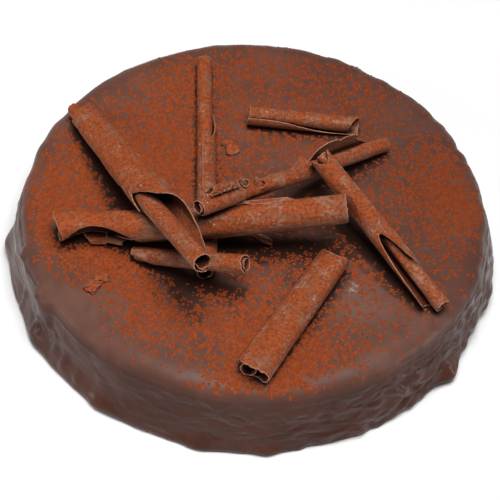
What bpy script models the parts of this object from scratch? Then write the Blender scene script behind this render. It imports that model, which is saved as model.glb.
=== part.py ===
"""A glazed chocolate cake with eight rolled chocolate curls lying across its top.

Run it with: blender --background --python part.py, or from Blender's text editor.
Lengths are named in millimetres and turned into metres as the meshes are made.
+Z is up, the front of the cake faces -Y, and the origin is the middle of its foot.
"""
import math
from typing import NamedTuple

import bmesh
import bpy
from mathutils import Matrix, Vector, noise

MM = 0.001

# From the middle of the cake's round top to the middle of its uneven foot
TO_MIDDLE = (1.15, 0.65, 0.0)

# Cake body
CAKE_HEIGHT = 35.0
TOP_RADIUS = 97.6
FOOT_RADIUS = 101.6
SHOULDER_ROUND = 6.5
FOOT_ROUND = 2.6
FOOT_FLARE_HEIGHT = 11.0
FOOT_LEAN = 1.7
FOOT_LEAN_BEARING = 212.0
WALL_RIPPLE = 0.55
SHOULDER_RIPPLE = 0.35
RIPPLE_REACH = 4.2
RIPPLE_HEIGHT = 9.0
CAKE_SEGMENTS = 104
SHOULDER_STEPS = 6
WALL_RINGS = 6
FOOT_STEPS = 4
TOP_RINGS = (58.0, 82.0)
UNDERSIDE_RING = 88.0

# Chocolate sheet that the curls are rolled from
SHEET = 0.85
SECTION_SAMPLES = 720
LIP_REACH = 0.5

# Chips that lie on the glaze
CHIP_THICKNESS = 1.5
CHIP_SINK = 0.5


class Drip(NamedTuple):
    """A place where the glaze ran thick: its bearing, width, how far it stands out, its height band."""
    bearing: float
    width: float
    reach: float
    low: float
    high: float


class Bend(NamedTuple):
    """A stretch of the rolled section: degrees turned, and its radius where it starts and ends."""
    turn: float
    start_radius: float
    end_radius: float


class Tear(NamedTuple):
    """A smooth bite out of an edge: where its middle is, its half width, and how deep it goes."""
    middle: float
    half_width: float
    depth: float


class Curl(NamedTuple):
    """One roll of chocolate. Ends are (x, y, height over the glaze) of the roll's axis."""
    start: tuple
    end: tuple
    bow: tuple
    lip_angle: float
    hand: int
    flap_bends: int
    bends: tuple
    start_scale: float
    end_scale: float
    full_by: float
    start_tears: tuple
    end_tears: tuple
    lip_tears: tuple
    around: int
    along: int


class Chip(NamedTuple):
    """A broken scrap on the glaze: its place, size, bearing and tilt."""
    x: float
    y: float
    length: float
    width: float
    bearing: float
    tilt: float


DRIPS = (
    Drip(184.0, 7.0, 2.4, -2.0, 15.0),
    Drip(212.0, 7.0, 2.0, -2.0, 12.0),
    Drip(237.0, 8.0, 1.6, -2.0, 9.0),
    Drip(262.0, 6.0, 1.4, -2.0, 8.0),
    Drip(277.0, 5.0, 1.6, -2.0, 7.0),
    Drip(327.0, 7.0, 4.2, -2.0, 12.0),
    Drip(358.0, 28.0, 2.4, -6.0, 34.0),
    Drip(188.0, 17.0, 1.7, -6.0, 34.0),
    Drip(351.0, 7.0, 2.6, -2.0, 14.0),
    Drip(40.0, 9.0, 1.8, -2.0, 12.0),
    Drip(85.0, 8.0, 2.2, -2.0, 10.0),
    Drip(128.0, 9.0, 1.9, -2.0, 13.0),
    Drip(203.0, 6.0, 1.5, 20.0, 34.0),
)

CURLS = {
    "wide_curl": Curl(
        start=(-79.9, 43.2, 5.1), end=(-16.6, -62.3, 39.2), bow=(0.7, 0.0),
        lip_angle=-22.0, hand=1, flap_bends=0,
        bends=(Bend(62, 6.6, 6.0), Bend(44, 10.5, 10.5), Bend(150, 5.9, 5.6),
               Bend(46, 11.0, 9.0), Bend(372, 4.15, 3.0), Bend(70, 2.4, 1.9)),
        start_scale=0.70, end_scale=1.02, full_by=0.6,
        start_tears=(Tear(0.15, 0.46, 0.075),),
        end_tears=(Tear(0.04, 0.52, 0.42), Tear(0.0, 0.08, -0.12), Tear(0.36, 0.20, 0.07)),
        lip_tears=(Tear(0.42, 0.12, 0.02),),
        around=36, along=9),
    "back_curl": Curl(
        start=(-26.5, 77.0, 4.75), end=(-17.1, -42.9, 5.05), bow=(0.0, 0.0),
        lip_angle=72.0, hand=1, flap_bends=0,
        bends=(Bend(210, 4.3, 3.8), Bend(330, 3.4, 2.5)),
        start_scale=1.0, end_scale=1.06, full_by=1.0,
        start_tears=(Tear(0.0, 0.50, 0.40),),
        end_tears=(Tear(0.30, 0.2, 0.02),),
        lip_tears=(Tear(0.62, 0.2, 0.02),),
        around=24, along=5),
    "short_curl": Curl(
        start=(-5.9, 45.6, 4.5), end=(41.8, 44.0, 4.5), bow=(0.0, 0.0),
        lip_angle=22.0, hand=-1, flap_bends=0,
        bends=(Bend(60, 5.2, 4.9), Bend(200, 4.3, 3.8), Bend(300, 3.5, 2.6)),
        start_scale=0.92, end_scale=0.94, full_by=1.0,
        start_tears=(Tear(0.75, 0.3, 0.02),),
        end_tears=(Tear(0.80, 0.36, 0.10),),
        lip_tears=(Tear(1.0, 0.80, 0.20),),
        around=24, along=6),
    "thin_curl": Curl(
        start=(-22.6, -32.1, 31.9), end=(53.1, 36.1, 3.7), bow=(0.0, 0.0),
        lip_angle=172.0, hand=1, flap_bends=1,
        bends=(Bend(10, 40.0, 40.0), Bend(330, 3.6, 3.0), Bend(300, 2.75, 2.0)),
        start_scale=1.0, end_scale=0.96, full_by=1.0,
        start_tears=(Tear(0.35, 0.3, 0.015),),
        end_tears=(Tear(0.08, 0.22, 0.06), Tear(0.8, 0.2, 0.02)),
        lip_tears=(Tear(0.0, 0.10, 0.24), Tear(0.22, 0.30, 0.14), Tear(0.50, 0.17, 0.20), Tear(1.0, 0.14, 0.26)),
        around=26, along=14),
    "long_curl": Curl(
        start=(-80.5, -27.2, 6.9), end=(36.8, -21.0, 26.4), bow=(2.4, -0.6),
        lip_angle=-66.0, hand=1, flap_bends=0,
        bends=(Bend(360, 6.5, 5.4), Bend(300, 5.1, 3.9)),
        start_scale=1.08, end_scale=0.93, full_by=1.0,
        start_tears=(Tear(0.12, 0.2, 0.03), Tear(0.9, 0.35, 0.10)),
        end_tears=(Tear(0.25, 0.18, 0.02),),
        lip_tears=(Tear(0.145, 0.135, 0.19),),
        around=28, along=12),
    "slotted_curl": Curl(
        start=(24.9, 8.1, 23.6), end=(77.3, -51.1, 5.0), bow=(0.0, 0.0),
        lip_angle=142.0, hand=-1, flap_bends=0,
        bends=(Bend(150, 5.1, 5.5), Bend(140, 5.6, 5.0), Bend(350, 3.45, 2.5)),
        start_scale=0.80, end_scale=1.02, full_by=1.0,
        start_tears=(Tear(0.16, 0.16, 0.07),),
        end_tears=(Tear(0.0, 0.10, 0.30), Tear(0.13, 0.13, 0.48), Tear(0.42, 0.30, 0.07)),
        lip_tears=(Tear(0.4, 0.2, 0.02),),
        around=26, along=8),
    "front_curl": Curl(
        start=(34.3, -29.1, 5.25), end=(3.9, -90.8, 6.05), bow=(0.0, 0.0),
        lip_angle=-8.0, hand=1, flap_bends=0,
        bends=(Bend(66, 5.2, 4.8), Bend(26, 15.0, 15.0), Bend(164, 4.25, 4.15),
               Bend(22, 15.0, 15.0), Bend(340, 3.1, 2.35)),
        start_scale=0.98, end_scale=1.14, full_by=1.0,
        start_tears=(Tear(0.25, 0.2, 0.04),),
        end_tears=(Tear(0.15, 0.30, 0.085), Tear(0.42, 0.20, 0.05)),
        lip_tears=(Tear(0.5, 0.3, 0.01),),
        around=28, along=5),
    "small_curl": Curl(
        start=(-47.4, -34.5, 2.7), end=(-1.6, -49.4, 20.6), bow=(0.0, 0.0),
        lip_angle=-48.0, hand=1, flap_bends=0,
        bends=(Bend(250, 3.6, 3.15), Bend(300, 2.9, 2.1)),
        start_scale=0.92, end_scale=1.06, full_by=1.0,
        start_tears=(Tear(0.62, 0.3, 0.05),),
        end_tears=(Tear(0.3, 0.2, 0.02),),
        lip_tears=(Tear(0.0, 0.28, 0.20),),
        around=22, along=6),
}

CHIPS = (
    Chip(-61.8, -50.0, 8.0, 4.4, 62.0, 4.0),
    Chip(-59.4, -46.6, 4.6, 3.4, 20.0, 3.0),
    Chip(-10.4, 30.2, 7.0, 5.2, 100.0, 5.0),
    Chip(-13.2, 32.2, 4.2, 3.0, 40.0, 4.0),
    Chip(4.2, -18.8, 8.0, 2.4, -24.0, 6.0),
)

GLAZE_COLOUR = (0.115, 0.052, 0.038, 1.0)
CURL_COLOUR = (0.330, 0.096, 0.038, 1.0)


def smooth_step(value: float) -> float:
    """Ease from 0 to 1 as the value goes from 0 to 1."""
    held = min(max(value, 0.0), 1.0)
    return held * held * (3.0 - 2.0 * held)


def bump(distance: float, half_width: float) -> float:
    """Give a smooth hump, 1 at its middle and 0 from its half width outwards."""
    return smooth_step(1.0 - abs(distance) / half_width)


def principled(name: str, colour: tuple, roughness: float) -> bpy.types.Material:
    """Make a Principled material of one colour and roughness."""
    material = bpy.data.materials.new(name)
    material.use_nodes = True
    shader = material.node_tree.nodes["Principled BSDF"]
    shader.inputs["Base Color"].default_value = colour
    shader.inputs["Roughness"].default_value = roughness
    shader.inputs["Metallic"].default_value = 0.0
    return material


def link_mesh(name: str, shape: bmesh.types.BMesh, material: bpy.types.Material) -> bpy.types.Object:
    """Write a bmesh into a new smooth-shaded object, with the middle of the whole at the origin."""
    bmesh.ops.translate(shape, verts=shape.verts, vec=Vector(TO_MIDDLE) * MM)
    mesh = bpy.data.meshes.new(name)
    shape.to_mesh(mesh)
    shape.free()
    mesh.materials.append(material)
    mesh.shade_smooth()
    mesh.set_sharp_from_angle(angle=math.radians(40.0))
    thing = bpy.data.objects.new(name, mesh)
    bpy.context.scene.collection.objects.link(thing)
    return thing


def clear_scene() -> None:
    """Remove every object that the scene starts with."""
    for thing in list(bpy.data.objects):
        bpy.data.objects.remove(thing)


def cake_profile() -> list:
    """Trace the cake's half section from the middle of its top to the middle of its underside."""
    points = [(0.0, CAKE_HEIGHT)]
    points += [(ring, CAKE_HEIGHT) for ring in TOP_RINGS]
    for step in range(SHOULDER_STEPS + 1):
        angle = math.radians(90.0 * (1.0 - step / SHOULDER_STEPS))
        points.append((TOP_RADIUS - SHOULDER_ROUND * (1.0 - math.cos(angle)),
                       CAKE_HEIGHT - SHOULDER_ROUND * (1.0 - math.sin(angle))))
    wall_top = CAKE_HEIGHT - SHOULDER_ROUND
    for ring in range(1, WALL_RINGS + 1):
        height = wall_top + (FOOT_ROUND - wall_top) * ring / WALL_RINGS
        flare = smooth_step(1.0 - (height - FOOT_ROUND) / FOOT_FLARE_HEIGHT)
        points.append((TOP_RADIUS + (FOOT_RADIUS - TOP_RADIUS) * flare, height))
    for step in range(1, FOOT_STEPS + 1):
        angle = math.radians(90.0 * step / FOOT_STEPS)
        points.append((FOOT_RADIUS - FOOT_ROUND * (1.0 - math.cos(angle)),
                       FOOT_ROUND * (1.0 - math.sin(angle))))
    points.append((UNDERSIDE_RING, 0.0))
    points.append((0.0, 0.0))
    return points


def wall_swell(bearing: float, height: float) -> float:
    """Say how far the glaze stands out from the plain wall at a bearing in degrees and a height."""
    angle = math.radians(bearing)
    round_place = Vector((math.cos(angle), math.sin(angle), 0.0)) * RIPPLE_REACH
    slow = noise.noise(round_place + Vector((0.0, 0.0, height / RIPPLE_HEIGHT)))
    quick = noise.noise(round_place * 3.1 + Vector((7.3, 1.9, height / RIPPLE_HEIGHT * 1.7)))
    below_shoulder = smooth_step((CAKE_HEIGHT - height) / SHOULDER_ROUND)
    ripple = WALL_RIPPLE * (slow + 0.5 * quick) * below_shoulder + SHOULDER_RIPPLE * slow
    low_part = smooth_step(1.0 - height / FOOT_FLARE_HEIGHT)
    lean = FOOT_LEAN * math.cos(math.radians(bearing - FOOT_LEAN_BEARING)) * low_part
    drip = 0.0
    for lump in DRIPS:
        away = (bearing - lump.bearing + 180.0) % 360.0 - 180.0
        middle = (lump.low + lump.high) / 2.0
        drip += lump.reach * bump(away, lump.width) * bump(height - middle, (lump.high - lump.low) / 2.0)
    return ripple + lean + drip


def cake_body(material: bpy.types.Material) -> bpy.types.Object:
    """Turn the cake from its profile and swell its wall where the glaze ran."""
    shape = bmesh.new()
    profile = [shape.verts.new((radius * MM, 0.0, height * MM)) for radius, height in cake_profile()]
    edges = [shape.edges.new(pair) for pair in zip(profile, profile[1:])]
    bmesh.ops.spin(shape, geom=profile + edges, cent=(0.0, 0.0, 0.0), axis=(0.0, 0.0, 1.0),
                   angle=math.tau, steps=CAKE_SEGMENTS, use_merge=True)
    bmesh.ops.remove_doubles(shape, verts=shape.verts, dist=0.01 * MM)
    bmesh.ops.recalc_face_normals(shape, faces=shape.faces)
    edge_start = TOP_RINGS[-1] * MM
    for vert in shape.verts:
        radius = vert.co.xy.length
        if radius <= edge_start or (vert.co.z < 0.01 * MM and radius < (UNDERSIDE_RING + 1.0) * MM):
            continue
        bearing = math.degrees(math.atan2(vert.co.y, vert.co.x)) % 360.0
        stretch = 1.0 + wall_swell(bearing, vert.co.z / MM) * MM / radius
        vert.co.x *= stretch
        vert.co.y *= stretch
    return link_mesh("glazed_cake", shape, material)


def chip_solid(chip: Chip, seed: float) -> bmesh.types.BMesh:
    """Model one scrap as a thin uneven slab, bent a little and sunk into the glaze."""
    shape = bmesh.new()
    bmesh.ops.create_cube(shape, size=1.0)
    long_edges = [edge for edge in shape.edges
                  if abs(edge.verts[0].co.x - edge.verts[1].co.x) > 0.5]
    bmesh.ops.subdivide_edges(shape, edges=long_edges, cuts=3, use_grid_fill=True)
    wide_edges = [edge for edge in shape.edges
                  if abs(edge.verts[0].co.y - edge.verts[1].co.y) > 0.5]
    bmesh.ops.subdivide_edges(shape, edges=wide_edges, cuts=1, use_grid_fill=True)
    place = (Matrix.Translation(Vector((chip.x, chip.y, CAKE_HEIGHT - CHIP_SINK)) * MM)
             @ Matrix.Rotation(math.radians(chip.bearing), 4, "Z")
             @ Matrix.Rotation(math.radians(chip.tilt), 4, "Y"))
    for vert in shape.verts:
        ragged = noise.noise_vector(vert.co * 2.3 + Vector((seed, seed * 0.7, 0.0))) * 0.32
        x = (vert.co.x + ragged.x) * chip.length
        y = (vert.co.y + ragged.y) * chip.width
        z = (vert.co.z + 0.5) * CHIP_THICKNESS + ragged.z * 0.5
        if vert.co.z > 0.0:
            z += 0.45 * math.cos(vert.co.x * math.pi) * CHIP_THICKNESS * 0.6
        vert.co = place @ (Vector((x, y, z)) * MM)
    return shape


def fuse_chips(cake: bpy.types.Object, material: bpy.types.Material) -> None:
    """Join every scrap to the cake by one union, and remove the loose scraps."""
    scraps = bpy.data.collections.new("chips")
    bpy.context.scene.collection.children.link(scraps)
    for number, chip in enumerate(CHIPS):
        loose = link_mesh(f"chip_{number}", chip_solid(chip, 3.7 * (number + 1)), material)
        bpy.context.scene.collection.objects.unlink(loose)
        scraps.objects.link(loose)
    union = cake.modifiers.new("join_chips", "BOOLEAN")
    union.operation = "UNION"
    union.operand_type = "COLLECTION"
    union.collection = scraps
    union.solver = "MANIFOLD"
    joined = bpy.data.meshes.new_from_object(cake.evaluated_get(bpy.context.evaluated_depsgraph_get()))
    cake.modifiers.clear()
    joined.name = "glazed_cake_joined"
    cake.data = joined
    joined.materials.clear()
    joined.materials.append(material)
    for loose in list(scraps.objects):
        bpy.data.objects.remove(loose)
    bpy.data.collections.remove(scraps)


def rolled_section(curl: Curl) -> list:
    """Follow the sheet's middle line from its outer lip inwards, as (side, up) points in mm.

    The roll without its loose flap is centred on its axis.
    """
    lengths = [math.radians(bend.turn) * (bend.start_radius + bend.end_radius) / 2.0 for bend in curl.bends]
    angle = math.radians(curl.lip_angle)
    first_radius = curl.bends[0].start_radius
    place = Vector((math.cos(angle), math.sin(angle))) * first_radius
    heading = angle + curl.hand * math.pi / 2.0
    points = [place.copy()]
    roll_starts = 0
    for number, bend in enumerate(curl.bends):
        if number == curl.flap_bends:
            roll_starts = len(points) - 1
        steps = max(round(SECTION_SAMPLES * lengths[number] / sum(lengths)), 2)
        turn = math.radians(bend.turn) / steps
        for step in range(steps):
            radius = bend.start_radius + (bend.end_radius - bend.start_radius) * (step + 0.5) / steps
            middle = heading + curl.hand * turn / 2.0
            place = place + Vector((math.cos(middle), math.sin(middle))) * 2.0 * radius * math.sin(turn / 2.0)
            heading += curl.hand * turn
            points.append(place.copy())
    roll = points[roll_starts:]
    middle = Vector((min(p.x for p in roll) + max(p.x for p in roll),
                     min(p.y for p in roll) + max(p.y for p in roll))) / 2.0
    return [point - middle for point in points]


def tear_depth(tears: tuple, place: float) -> float:
    """Add up the bites that an edge has at a place along it."""
    return sum(tear.depth * bump(place - tear.middle, tear.half_width) for tear in tears)


def rolled_curl(name: str, curl: Curl, material: bpy.types.Material) -> bpy.types.Object:
    """Roll a flat grid into the curl's section, tear its edges and give it the sheet's thickness."""
    start = Vector(curl.start) + Vector((0.0, 0.0, CAKE_HEIGHT))
    end = Vector(curl.end) + Vector((0.0, 0.0, CAKE_HEIGHT))
    axis = (end - start).normalized()
    up = (Vector((0.0, 0.0, 1.0)) - axis * axis.z).normalized()
    side = axis.cross(up)
    section = rolled_section(curl)
    shape = bmesh.new()
    bmesh.ops.create_grid(shape, x_segments=curl.around, y_segments=curl.along, size=0.5)
    for vert in shape.verts:
        across = vert.co.x + 0.5
        down = vert.co.y + 0.5
        lip = tear_depth(curl.lip_tears, down)
        place = across + lip * max(1.0 - across / LIP_REACH, 0.0)
        first = tear_depth(curl.start_tears, place)
        last = 1.0 - tear_depth(curl.end_tears, place)
        along = first + (last - first) * down
        point = section[min(round(place * (len(section) - 1)), len(section) - 1)]
        scale = curl.start_scale + (curl.end_scale - curl.start_scale) * min(along / curl.full_by, 1.0)
        arch = math.sin(math.pi * along)
        across_axis = side * (point.x * scale + curl.bow[0] * arch)
        above_axis = up * (point.y * scale + curl.bow[1] * arch)
        vert.co = (start.lerp(end, along) + across_axis + above_axis) * MM
    thing = link_mesh(name, shape, material)
    wall = thing.modifiers.new("sheet", "SOLIDIFY")
    wall.thickness = SHEET * MM
    wall.offset = 0.0
    return thing


def build() -> None:
    """Make the cake and its curls."""
    clear_scene()
    glaze = principled("dark_glaze", GLAZE_COLOUR, 0.38)
    dusted = principled("dusted_chocolate", CURL_COLOUR, 0.72)
    cake = cake_body(glaze)
    fuse_chips(cake, glaze)
    for name, curl in CURLS.items():
        rolled_curl(name, curl, dusted)


build()
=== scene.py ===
"""Looks of a glazed chocolate torte with rolled chocolate curls and sifted cocoa.

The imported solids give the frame. Each class below models and dresses one sub-assembly.
Lengths are named in millimetres, and +Z is up with the front of the cake facing -Y.
"""

import logging
import math
from dataclasses import dataclass, field
from enum import Enum

import bmesh
import bpy
import numpy as np
from mathutils import Matrix, Vector, noise
from mathutils.bvhtree import BVHTree


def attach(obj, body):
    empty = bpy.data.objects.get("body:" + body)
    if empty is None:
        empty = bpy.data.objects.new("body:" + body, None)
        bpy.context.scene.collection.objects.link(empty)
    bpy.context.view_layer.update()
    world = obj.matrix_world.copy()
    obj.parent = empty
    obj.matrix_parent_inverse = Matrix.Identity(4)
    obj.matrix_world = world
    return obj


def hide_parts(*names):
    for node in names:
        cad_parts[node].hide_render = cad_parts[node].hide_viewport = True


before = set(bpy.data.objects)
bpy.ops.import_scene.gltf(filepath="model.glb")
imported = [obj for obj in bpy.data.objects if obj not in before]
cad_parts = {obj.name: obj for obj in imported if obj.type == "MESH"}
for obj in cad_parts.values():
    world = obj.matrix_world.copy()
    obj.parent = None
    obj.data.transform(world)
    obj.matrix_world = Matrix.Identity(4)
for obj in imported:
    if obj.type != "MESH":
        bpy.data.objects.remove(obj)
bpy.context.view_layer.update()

LOG = logging.getLogger("torte")

MM = 0.001
TO_MIDDLE = Vector((1.15, 0.65, 0.0))
CAKE_HEIGHT = 35.0
ROOT = "root"
SCRAP_COVER = 0.95


class Winding(Enum):
    """Which way a sheet turns inwards, seen along the roll's axis."""

    WITH_UP = 1
    AGAINST_UP = -1


class Slot(Enum):
    """The record's material slots."""

    GLAZE = "dark_glaze"
    CURL = "dusted_chocolate"


@dataclass(frozen=True)
class Bend:
    """A stretch of rolled section: degrees turned, and its radius at its start and end."""

    turn: float
    start_radius: float
    end_radius: float


@dataclass(frozen=True)
class Tear:
    """A bite out of an edge: where its middle is, its half width, its depth, how square it is."""

    middle: float
    half_width: float
    depth: float
    square: float = 1.0


@dataclass(frozen=True)
class Drip:
    """A place where the glaze ran thick: bearing, width, how far it stands out, height band."""

    bearing: float
    width: float
    reach: float
    low: float
    high: float

    def hump(self, height: float) -> float:
        """Give 1 at the middle of the height band, and 0 from its ends outwards."""
        return bump(height - (self.low + self.high) / 2.0, (self.high - self.low) / 2.0)


@dataclass(frozen=True)
class Patch:
    """A soft round area of cocoa: its place, its reach and how much it adds to the cover."""

    x: float
    y: float
    reach_x: float
    reach_y: float
    amount: float

    def at(self, x: float, y: float) -> float:
        """Give what the patch adds at a place on the glaze."""
        away = ((x - self.x) / self.reach_x) ** 2 + ((y - self.y) / self.reach_y) ** 2
        return self.amount * math.exp(-away)


def smooth_step(value: float) -> float:
    """Ease from 0 to 1 as the value goes from 0 to 1."""
    held = min(max(value, 0.0), 1.0)
    return held * held * (3.0 - 2.0 * held)


def bump(distance: float, half_width: float) -> float:
    """Give a smooth hump, 1 at its middle and 0 from its half width outwards."""
    return smooth_step(1.0 - abs(distance) / half_width)


def turn_between(bearing: float, middle: float) -> float:
    """Give the turn between two bearings in degrees, from -180 to 180."""
    return (bearing - middle + 180.0) % 360.0 - 180.0


def toward(bearing: float, side: tuple) -> float:
    """Give 1 at a side's bearing, falling to 0 at its half width, both in degrees."""
    middle, half_width = side
    return bump(turn_between(bearing, middle), half_width)


class NodeSketch:
    """Builds a node tree from short calls."""

    def __init__(self, tree: bpy.types.NodeTree) -> None:
        """Take the tree that the nodes go into."""
        self.tree = tree

    def add(self, kind: str, inputs: dict | None = None, **settings: object) -> bpy.types.Node:
        """Add a node.

        Args:
            kind: the node's type name without its ShaderNode prefix.
            inputs: values or output sockets for the node's inputs, by name or number.
            settings: the node's own properties.

        Returns:
            The new node.
        """
        node = self.tree.nodes.new("ShaderNode" + kind)
        for name, value in settings.items():
            setattr(node, name, value)
        for key, value in (inputs or {}).items():
            if isinstance(value, bpy.types.NodeSocket):
                self.tree.links.new(value, node.inputs[key])
            else:
                node.inputs[key].default_value = value
        return node

    def math(self, operation: str, first: object, second: object = 0.0) -> bpy.types.NodeSocket:
        """Combine two values and give the result's socket."""
        return self.add("Math", {0: first, 1: second}, operation=operation).outputs[0]

    def plus(self, first: object, second: object) -> bpy.types.NodeSocket:
        """Add two values."""
        return self.math("ADD", first, second)

    def minus(self, first: object, second: object) -> bpy.types.NodeSocket:
        """Take the second value from the first."""
        return self.math("SUBTRACT", first, second)

    def times(self, first: object, second: object) -> bpy.types.NodeSocket:
        """Multiply two values."""
        return self.math("MULTIPLY", first, second)

    def part(self, place: bpy.types.NodeSocket, axis: str) -> bpy.types.NodeSocket:
        """Take one coordinate of a place."""
        return self.add("SeparateXYZ", {0: place}).outputs[axis]

    def stored(self, name: str) -> bpy.types.NodeSocket:
        """Read a value that the mesh stores on its corners."""
        return self.add("Attribute", attribute_name=name).outputs["Fac"]

    def spread(self, value: object, low: object, high: object, to_low: float = 0.0,
               to_high: float = 1.0) -> bpy.types.NodeSocket:
        """Map one range of a value smoothly onto another and give the result's socket."""
        return self.add("MapRange", {"Value": value, "From Min": low, "From Max": high,
                                     "To Min": to_low, "To Max": to_high},
                        interpolation_type="SMOOTHSTEP").outputs["Result"]

    def mix(self, factor: object, first: object, second: object) -> bpy.types.NodeSocket:
        """Mix two colours and give the result's socket."""
        return self.add("Mix", {0: factor, 6: first, 7: second}, data_type="RGBA").outputs[2]

    def cloud(self, place: bpy.types.NodeSocket, scale: object, detail: float, roughness: float = 0.5,
              distortion: float = 0.0) -> bpy.types.NodeSocket:
        """Make soft noise and give its value's socket."""
        inputs = {"Vector": place, "Scale": scale, "Detail": detail, "Roughness": roughness}
        return self.add("TexNoise", {**inputs, "Distortion": distortion}).outputs["Fac"]

    def blotches(self, place: bpy.types.NodeSocket, scale: float, cover: object, softness: float) -> tuple:
        """Add soft-edged blotches, and give the sockets of their mask and height."""
        node = self.add("Group", {"Place": place, "Scale": scale, "Cover": cover, "Softness": softness},
                        node_tree=NodeGroups.mottle())
        return node.outputs["Mask"], node.outputs["Height"]

    def spots(self, place: bpy.types.NodeSocket, scale: float, share: float,
              size: float) -> bpy.types.NodeSocket:
        """Add small separate spots and give their mask's socket."""
        return self.add("Group", {"Place": place, "Scale": scale, "Share": share, "Size": size},
                        node_tree=NodeGroups.specks()).outputs["Mask"]

    def near(self, place: bpy.types.NodeSocket, middle: tuple, reach: float) -> bpy.types.NodeSocket:
        """Give a mask that is 1 at a place and falls to 0 at a reach in millimetres."""
        point = (Vector(middle) + TO_MIDDLE) * MM
        distance = self.add("VectorMath", {0: place, 1: point}, operation="DISTANCE").outputs["Value"]
        return self.spread(distance, reach * MM, 0.2 * reach * MM)

    def far_share(self, place: bpy.types.NodeSocket, most: float) -> bpy.types.NodeSocket:
        """Give a share that grows from 0 at the middle to its most at the back right rim."""
        rightward, backward, rim = 0.8, 0.6, 90.0
        along = self.plus(self.times(self.part(place, "X"), rightward),
                          self.times(self.part(place, "Y"), backward))
        return self.spread(along, 0.0, rim * MM, 0.0, most)


class NodeGroups:
    """The effects that more than one finish uses, each made once."""

    @staticmethod
    def _new(name: str, inputs: dict, outputs: tuple) -> tuple:
        """Start a group with a place and numbers as its inputs, and numbers as its outputs.

        Args:
            name: the group's name.
            inputs: starting value by input name, without the place.
            outputs: the outputs' names.

        Returns:
            The group, its sketch, and the sockets of its input node and output node.
        """
        group = bpy.data.node_groups.new(name, "ShaderNodeTree")
        group.interface.new_socket("Place", in_out="INPUT", socket_type="NodeSocketVector")
        for label, value in inputs.items():
            socket = group.interface.new_socket(label, in_out="INPUT", socket_type="NodeSocketFloat")
            socket.default_value = value
        for label in outputs:
            group.interface.new_socket(label, in_out="OUTPUT", socket_type="NodeSocketFloat")
        source = group.nodes.new("NodeGroupInput")
        target = group.nodes.new("NodeGroupOutput")
        return group, NodeSketch(group), source.outputs, target.inputs

    @classmethod
    def mottle(cls) -> bpy.types.NodeTree:
        """Give the group that makes soft-edged blotches, with finer blotches breaking their edges."""
        name = "mottle"
        if name in bpy.data.node_groups:
            return bpy.data.node_groups[name]
        group, sketch, given, result = cls._new(
            name, {"Scale": 200.0, "Cover": 0.5, "Softness": 0.08}, ("Mask", "Height"))
        broad = sketch.cloud(given["Place"], given["Scale"], 3.0, 0.62)
        fine = sketch.cloud(given["Place"], sketch.times(given["Scale"], 3.7), 2.0, 0.7)
        both = sketch.plus(sketch.times(broad, 0.7), sketch.times(fine, 0.3))
        level = sketch.plus(sketch.times(sketch.minus(1.0, given["Cover"]), 0.34), 0.33)
        softness = given["Softness"]
        mask = sketch.spread(both, sketch.minus(level, softness), sketch.plus(level, softness))
        sketch.tree.links.new(mask, result["Mask"])
        sketch.tree.links.new(both, result["Height"])
        return group

    @classmethod
    def specks(cls) -> bpy.types.NodeTree:
        """Give the group that scatters small separate spots."""
        name = "specks"
        if name in bpy.data.node_groups:
            return bpy.data.node_groups[name]
        group, sketch, given, result = cls._new(
            name, {"Scale": 500.0, "Share": 0.2, "Size": 0.25}, ("Mask",))
        cells = sketch.add("TexVoronoi", {"Vector": given["Place"], "Scale": given["Scale"]})
        near = sketch.minus(1.0, sketch.math("DIVIDE", cells.outputs["Distance"], given["Size"]))
        tone = sketch.add("SeparateColor", {"Color": cells.outputs["Color"]}).outputs[0]
        chosen = sketch.math("LESS_THAN", tone, given["Share"])
        sketch.tree.links.new(sketch.times(sketch.spread(near, 0.0, 0.6), chosen), result["Mask"])
        return group


class Finish:
    """What the finishes share: how a material starts and how its shader is joined."""

    @staticmethod
    def start(name: str) -> tuple:
        """Start a material, and give it with its sketch and its object coordinates."""
        made = bpy.data.materials.new(name)
        made.use_nodes = True
        sketch = NodeSketch(made.node_tree)
        return made, sketch, sketch.add("TexCoord").outputs["Object"]

    @staticmethod
    def join(made: bpy.types.Material, values: dict, relief: tuple, shine: float) -> bpy.types.Material:
        """Join a material's shader.

        Args:
            made: the material.
            values: the socket for each of the shader's inputs, by name.
            relief: the socket of the surface's height, the strength, and the depth in millimetres.
            shine: the specular level.

        Returns:
            The finished material.
        """
        height, strength, depth = relief
        sketch = NodeSketch(made.node_tree)
        bumped = sketch.add("Bump", {"Strength": strength, "Distance": depth * MM, "Height": height})
        shader = made.node_tree.nodes["Principled BSDF"]
        for name, socket in {**values, "Normal": bumped.outputs["Normal"]}.items():
            made.node_tree.links.new(socket, shader.inputs[name])
        shader.inputs["Specular IOR Level"].default_value = shine
        return made

    @staticmethod
    def darker(colour: tuple, share: float) -> tuple:
        """Give a colour at a share of its brightness."""
        return (colour[0] * share, colour[1] * share, colour[2] * share, 1.0)


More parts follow.
